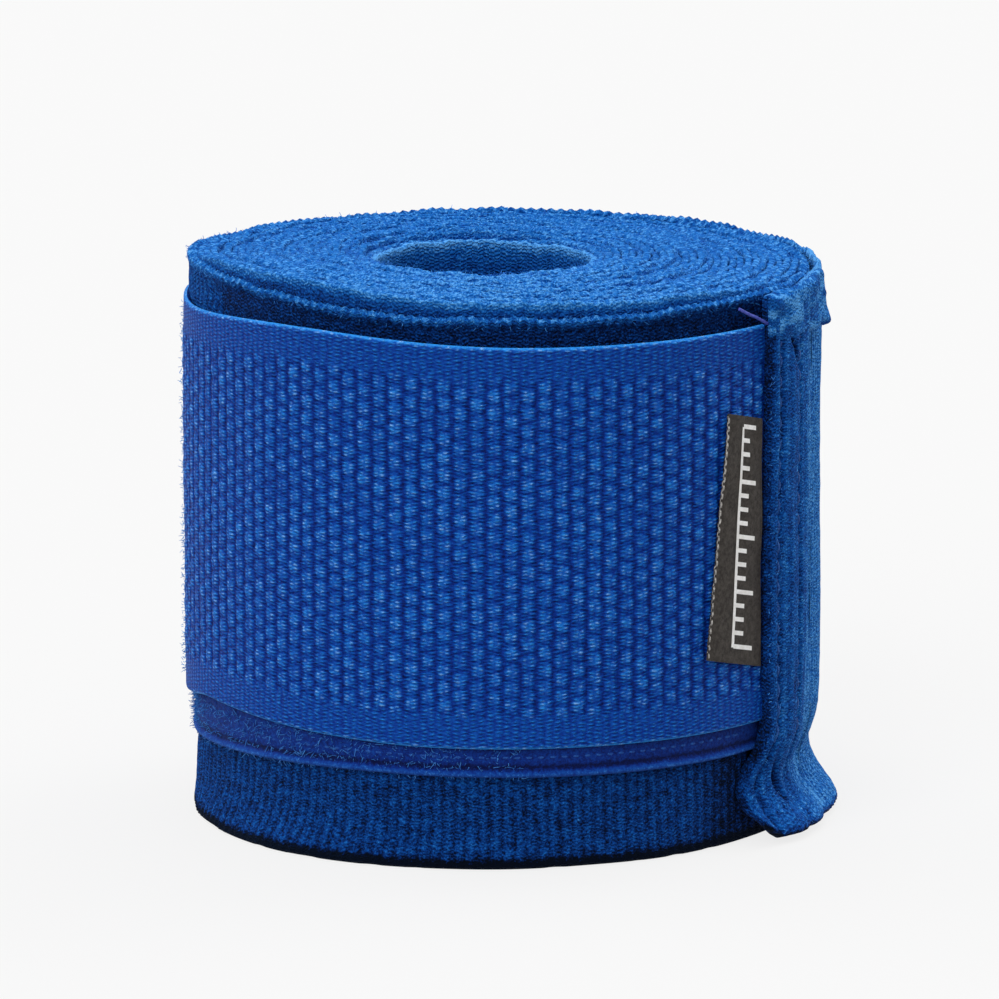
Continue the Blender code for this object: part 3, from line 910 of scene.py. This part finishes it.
def buildThumbLoop():
    pieces = []
    for i, middle in enumerate(thumb["layers"]):
        mesh = flatSlab(f"thumbLoop{i + 1}", 150, 40)
        flat = readPoints(mesh)
        winding = thumb["reach"][0] + flat[:, 0] * (thumb["reach"][1] - thumb["reach"][0])
        along = np.radians(winding) * middle
        low, high = thumb["heights"]
        up = low + (high - low) * flat[:, 2]
        radius = thumb["fold"] + (middle - thumb["fold"]) * halfRound(winding - thumb["reach"][0], 6)
        side = flat[:, 1] * 2 - 1
        radius = radius + side * thumb["thickness"] / 2 * edgeRounding(up, low, high, 0.2)
        rib = np.cos(2 * np.pi * up / 1.05)
        # painted light: the thumb loop is toned a little lighter than the band to lift the dim core, lighter
        # still on its rib crests
        writeCloth(mesh, place(winding, radius + 0.03 * side * rib, up), up, along, 0.45 + 0.15 * rib)
        piece = newPiece(mesh.name, mesh, cotton)
        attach(piece, "roll")
        if i == 0:
            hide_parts("thumb_loop")
        pieces.append(piece)
    return pieces


thumbPieces = buildThumbLoop()
tackHeights = np.linspace(17, 33, 90)
tackZigzag = 9 + 3.2 * np.sin(np.arange(90) * 0.9)
tube("thumbLoopTack", place(tackZigzag, 7.93 + 0 * tackHeights, tackHeights), 0.14, sewingThread, "roll",
     "thumb_loop_tack")
print("threads and thumb loop made")


def fibres(name, roots, directions, lengths, bends, body, material, thickness=0.035):
    # closed three-sided hairs, each rooted in the cloth, leaning its own way and bent
    count = len(roots)
    bm = bmesh.new()
    bmesh.ops.create_cone(bm, cap_ends=True, segments=3, radius1=1, radius2=0.6, depth=1)
    bmesh.ops.translate(bm, verts=bm.verts, vec=(0, 0, 0.5))
    uprights = [e for e in bm.edges if abs(e.verts[0].co.z - e.verts[1].co.z) > 0.5]
    bmesh.ops.subdivide_edges(bm, edges=uprights, cuts=2, use_grid_fill=True)
    while True:
        have = round(max(v.co.x for v in bm.verts) / 4) + 1
        if have >= count:
            break
        copied = bmesh.ops.duplicate(bm, geom=bm.verts[:] + bm.edges[:] + bm.faces[:])["geom"]
        bmesh.ops.translate(bm, verts=[v for v in copied if isinstance(v, bmesh.types.BMVert)],
                            vec=(4 * have, 0, 0))
    spare = [v for v in bm.verts if round(v.co.x / 4) >= count]
    bmesh.ops.delete(bm, geom=spare, context="VERTS")
    mesh = bpy.data.meshes.new(name)
    bm.to_mesh(mesh)
    bm.free()
    local = readPoints(mesh)
    owner = np.round(local[:, 0] / 4).astype(int)
    sideways = np.cross(directions, [0.3, 0.2, 1.0])
    sideways /= np.linalg.norm(sideways, axis=1, keepdims=True)
    other = np.cross(directions, sideways)
    t = local[:, 2:3]
    points = roots[owner] + directions[owner] * lengths[owner, None] * t * mm + bends[owner] * t ** 2 * mm
    around = sideways[owner] * (local[:, 0] - 4 * owner)[:, None] + other[owner] * local[:, 1:2]
    points += around * thickness * mm
    mesh.vertices.foreach_set("co", points.ravel())
    mesh.update()
    piece = newPiece(name, mesh, material)
    if body:
        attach(piece, body)
    return piece


def outward(winding):
    angle = np.radians(planAt(winding))
    return np.stack([np.cos(angle), np.sin(angle), 0 * angle], axis=1)


def tangent(winding):
    angle = np.radians(planAt(winding))
    return np.stack([-np.sin(angle), np.cos(angle), 0 * angle], axis=1)


def scatter(name, seed, count, winding, radius, height, lean, length, body, material,
            thickness=0.035):
    # lean is how far the hairs point outwards and up; the rest is chance
    rng = np.random.RandomState(seed)
    directions = rng.normal(0, 0.55, (count, 3)) + lean[0] * outward(winding)
    directions[:, 2] += lean[1]
    directions /= np.linalg.norm(directions, axis=1, keepdims=True)
    lengths = length * (0.5 + rng.rand(count))
    bends = rng.normal(0, 0.35 * length, (count, 3))
    return fibres(name, place(winding, radius, height), directions, lengths, bends, body, material,
                  thickness)


hooks = dict(start=1, end=14.4, spacing=0.95, length=0.42, margin=2.6)


def buildHooks():
    # the hook side of the strip: rows of short bent hooks, clear of both selvedges
    rng = np.random.RandomState(31)
    for i in range(roll["hookPieces"]):
        first, last = hookSpan(i, hooks["start"], hooks["end"])
        across = int(math.radians(last - first) * surfaceRadius / hooks["spacing"])
        rows = int((hookStrip["high"] - hookStrip["low"] - 2 * hooks["margin"]) / hooks["spacing"])
        column, row = (grid.ravel() for grid in np.meshgrid(np.arange(across), np.arange(rows)))
        winding = first + (column + 0.25 + 0.5 * (row % 2)) * (last - first) / across
        up = hookStrip["low"] + hooks["margin"] + (row + 0.5) * hooks["spacing"]
        radius = hookRadius(winding) + 0.40 * smooth(winding - hemWinding, 105, 140) + 0.05
        lean = np.where(row % 2 == 0, 1, -1)[:, None] * tangent(winding)
        count = len(winding)
        bends = lean * 0.30 + 0.12 * outward(winding) + rng.normal(0, 0.03, (count, 3))
        lengths = hooks["length"] * rng.uniform(0.85, 1.1, count)
        roots = place(winding, radius, up)
        piece = fibres(f"hookField{i + 1}", roots, -outward(winding), lengths, bends, None, hookNylon,
                       0.07)
        hingeOnStrip(piece, i)


def scatterFuzz():
    rng = np.random.RandomState(7)
    count = 6500
    radius = np.sqrt(rng.uniform(9.8 ** 2, 27.2 ** 2, count))
    winding = (radius - roll["coreRadius"] - 0.3) / pitch * 360 + rng.uniform(-180, 180, count)
    winding = np.clip(winding, 5, openWinding - 360)
    spread = 0.95 * bump(planAt(winding) % 360, 180, 34) * (radius / 27) ** 4
    radius = bandRadius(winding) + 0.31 + spread + rng.uniform(-0.25, 0.25, count)
    scatter("topFuzz", 11, count, winding, radius, topHeight(winding, radius) - 0.1, (0, 0.15), 0.34,
            "roll", fuzzFibre)
    count = 1500
    winding = startLast + rng.uniform(0, 345, count)
    up = 49.6 + 0 * winding
    radius = lastTurnShape(winding, up) + rng.uniform(-0.3, 0.45, count)
    scatter("rimFuzz", 12, count, winding, radius,
            rimHeight(planAt(winding)) - rng.uniform(0.1, 0.9, count), (0.35, 0.2), 0.30, "roll",
            fuzzFibre)
    count = 3200
    winding = windingAt(165 + 108 * rng.uniform(0, 1, count) ** 2.2)
    low = loopLow(planAt(winding))
    scatter("loopFuzz", 13, count, winding, loopRadius(winding) + 0.65, low + rng.uniform(0, 3.4, count),
            (0.25, -0.1), 0.42, "roll", loopFibre, 0.05)
    count = 900
    winding = windingAt(rng.uniform(-187.8, -176, count))
    radius = hookRadius(winding) + 0.55 + rng.uniform(0.2, 0.7, count)
    scatter("hookEndFuzz", 14, count, winding, radius, rng.uniform(12, 46.5, count), (0.4, 0.0), 0.22,
            "hook_strip_piece_10", paleFibre, 0.04)
    count = 1100
    winding = windingAt(rng.uniform(-37.5, -15.6, count))
    up = rng.uniform(1, 50, count)
    radius = (outerTurnRadius(winding) + footFlare(winding, up) + 0.6
              + 1.05 * smooth(planAt(winding), -18, -30))
    scatter("hemFuzz", 15, count, winding, radius, up, (0.3, 0.2), 0.26, "hem", fuzzFibre)


buildHooks()
scatterFuzz()
print("fuzz made")


view = dict(lens=391.9, sensor=36, reach=20, elevation=11.68, aim=(-0.00115, 0.00057, 0.02802))


def buildStage():
    bpy.ops.mesh.primitive_plane_add(size=6, location=(0, 0, -0.00002))
    floor = bpy.context.object
    floor.name = "floor"
    material, _, shader = newMaterial("whiteStudioFloor", 0.9)
    shader.inputs["Base Color"].default_value = (0.107, 0.107, 0.107, 1)
    shader.inputs["Specular IOR Level"].default_value = 0.0
    shader.inputs["Emission Color"].default_value = (1, 1, 1, 1)
    shader.inputs["Emission Strength"].default_value = 0.8
    floor.visible_diffuse = False
    floor.data.materials.append(material)
    world = bpy.context.scene.world or bpy.data.worlds.new("studio")
    bpy.context.scene.world = world
    world.use_nodes = True
    background = world.node_tree.nodes["Background"]
    background.inputs["Color"].default_value = (1, 1, 1, 1)
    background.inputs["Strength"].default_value = 0.45
    suns = (
        # name, direction it comes from, spread in degrees, strength
        ("overhead", (0.05, 0.35, 1.0), 80, 1.4),
        ("front", (-0.45, -1.0, 0.85), 45, 1.6),
        ("backRight", (1.0, 0.75, 0.45), 40, 1.3),
        ("backLeft", (-1.0, 0.65, 0.4), 40, 0.8),
    )
    for name, source, spread, strength in suns:
        lamp = bpy.data.lights.new(name, "SUN")
        lamp.angle = math.radians(spread)
        lamp.energy = strength
        holder = bpy.data.objects.new(name, lamp)
        holder.rotation_euler = (-Vector(source)).to_track_quat("-Z", "Y").to_euler()
        bpy.context.scene.collection.objects.link(holder)
    camera = bpy.data.cameras.new("camera")
    camera.lens = view["lens"]
    camera.sensor_width = view["sensor"]
    camera.clip_end = view["reach"]
    holder = bpy.data.objects.new("camera", camera)
    elevation = math.radians(view["elevation"])
    aim = Vector(view["aim"])
    holder.location = aim + Vector((0, -math.cos(elevation), math.sin(elevation)))
    holder.rotation_euler = (aim - holder.location).to_track_quat("-Z", "Y").to_euler()
    bpy.context.scene.collection.objects.link(holder)
    bpy.context.scene.camera = holder
    bpy.context.scene.view_settings.view_transform = "Standard"


buildStage()
print("stage set")
